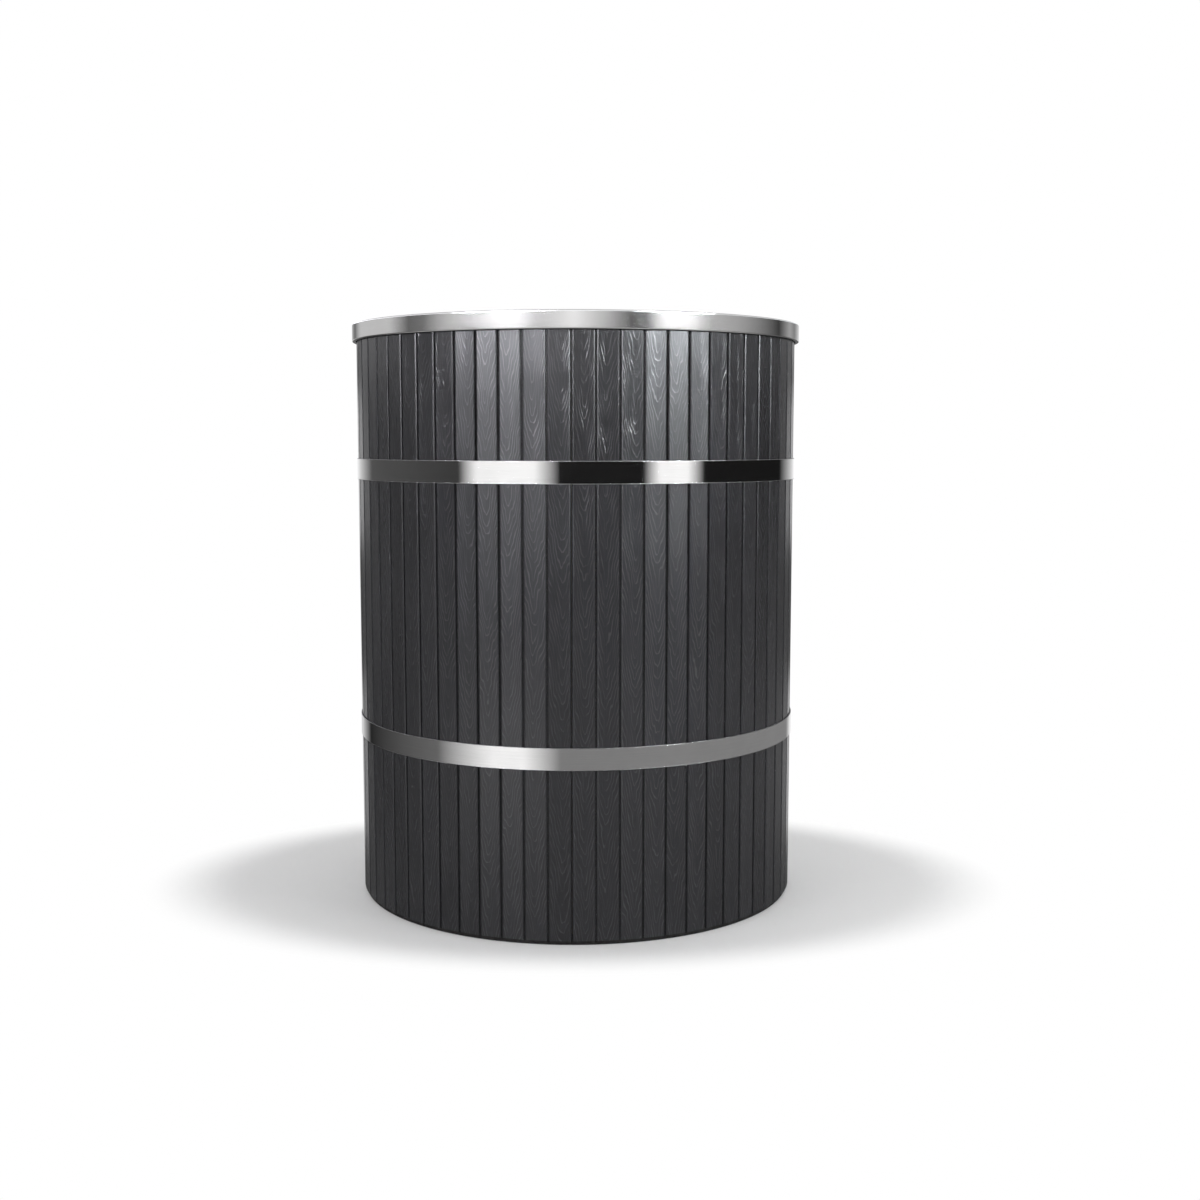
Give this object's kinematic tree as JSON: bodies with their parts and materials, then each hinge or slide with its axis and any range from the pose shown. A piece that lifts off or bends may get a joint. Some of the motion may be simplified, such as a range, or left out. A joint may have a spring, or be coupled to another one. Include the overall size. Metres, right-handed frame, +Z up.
{
  "type": "barrel cold plunge tub",
  "caption": "Round barrel tub for cold plunges: staves held by two bands round an insulated steel vessel, with a steel rim, drain and valved ports.",
  "frame": {"origin": "on the floor, at the middle of the tub's base", "axes": "+Z up along the barrel's axis, the front faces -Y, the drain valve points to +Y"},
  "size_m": [0.8329, 0.9325, 1.06],
  "materials": {
    "stave": "charcoal wood-grained plastic, satin",
    "rim_steel": "brushed along the ring",
    "band_steel": "satin, polished along the band",
    "vessel_steel": "brushed",
    "fitting_steel": "machined",
    "valve_steel": "cast and blasted, machined ends",
    "ball_steel": "polished",
    "fastener_steel": "plain stainless",
    "brass": "plain",
    "black_plastic": "moulded, matt",
    "dark_board": "moulded, matt",
    "foam": "closed-cell foam",
    "rubber": "matt",
    "grip_vinyl": "dipped vinyl, satin"
  },
  "bodies": {
    "tub": {"base_mat": "rubber", "base_plate": "dark_board", "base_foam": "foam", "vessel_floor": "vessel_steel", "vessel_wall": "vessel_steel", "foam_jacket": "foam", "rim_gasket": "rubber", "rim_cap": "rim_steel", "stave_panel_1": "stave", "stave_panel_2": "stave", "stave_panel_3": "stave", "stave_panel_4": "stave", "stave_panel_5": "stave", "stave_panel_6": "stave", "stave_panel_7": "stave", "stave_panel_8": "stave", "stave_panel_9": "stave", "lower_band": "band_steel", "upper_band": "band_steel", "band_bolts": "fastener_steel", "band_washers": "fastener_steel", "band_nuts": "fastener_steel", "bench_seat": "vessel_steel", "seat_brackets": "vessel_steel", "drain_flange": "fitting_steel", "drain_gasket": "rubber", "drain_cup": "black_plastic", "drain_pipe": "fitting_steel", "drain_cover_plate": "fitting_steel", "drain_spout": "brass", "return_fitting": "fitting_steel", "return_gasket": "rubber", "return_locknut": "fitting_steel", "return_hose_tail": "fitting_steel", "suction_fitting": "fitting_steel", "suction_gasket": "rubber", "suction_locknut": "fitting_steel", "suction_hose_tail": "fitting_steel", "suction_grille": "fitting_steel", "return_valve_body": "valve_steel", "suction_valve_body": "valve_steel", "drain_valve_body": "valve_steel"},
    "return_lever_set": {"return_valve_ball": "ball_steel", "return_valve_stem": "ball_steel", "return_valve_lever": "valve_steel", "return_valve_grip": "grip_vinyl", "return_valve_nut": "fastener_steel"},
    "suction_lever_set": {"suction_valve_ball": "ball_steel", "suction_valve_stem": "ball_steel", "suction_valve_lever": "valve_steel", "suction_valve_grip": "grip_vinyl", "suction_valve_nut": "fastener_steel"},
    "drain_lever_set": {"drain_valve_ball": "ball_steel", "drain_valve_stem": "ball_steel", "drain_valve_lever": "valve_steel", "drain_valve_grip": "grip_vinyl", "drain_valve_nut": "fastener_steel"},
    "strainer": {"drain_strainer": "fitting_steel"},
    "cap": {"drain_cap": "black_plastic"}
  },
  "joints": [
    {"name": "return_lever_turn", "type": "hinge", "parent": "tub", "child": "return_lever_set", "pos_m": [-0.21713, 0.39871, 0.62], "axis": [0, 0, 1], "range_deg": [0, 90]},
    {"name": "suction_lever_turn", "type": "hinge", "parent": "tub", "child": "suction_lever_set", "pos_m": [-0.21713, 0.39871, 0.215], "axis": [0, 0, 1], "range_deg": [0, 90]},
    {"name": "drain_lever_turn", "type": "hinge", "parent": "tub", "child": "drain_lever_set", "pos_m": [0, 0.454, 0.0348], "axis": [0, 0, 1], "range_deg": [0, 90]},
    {"name": "strainer_lift", "type": "slide", "parent": "tub", "child": "strainer", "axis": [0, 0, 1], "range_m": [0, 0.12]},
    {"name": "cap_off", "type": "slide", "parent": "tub", "child": "cap", "axis": [0, 1, 0], "range_m": [0, 0.06]}
  ]
}
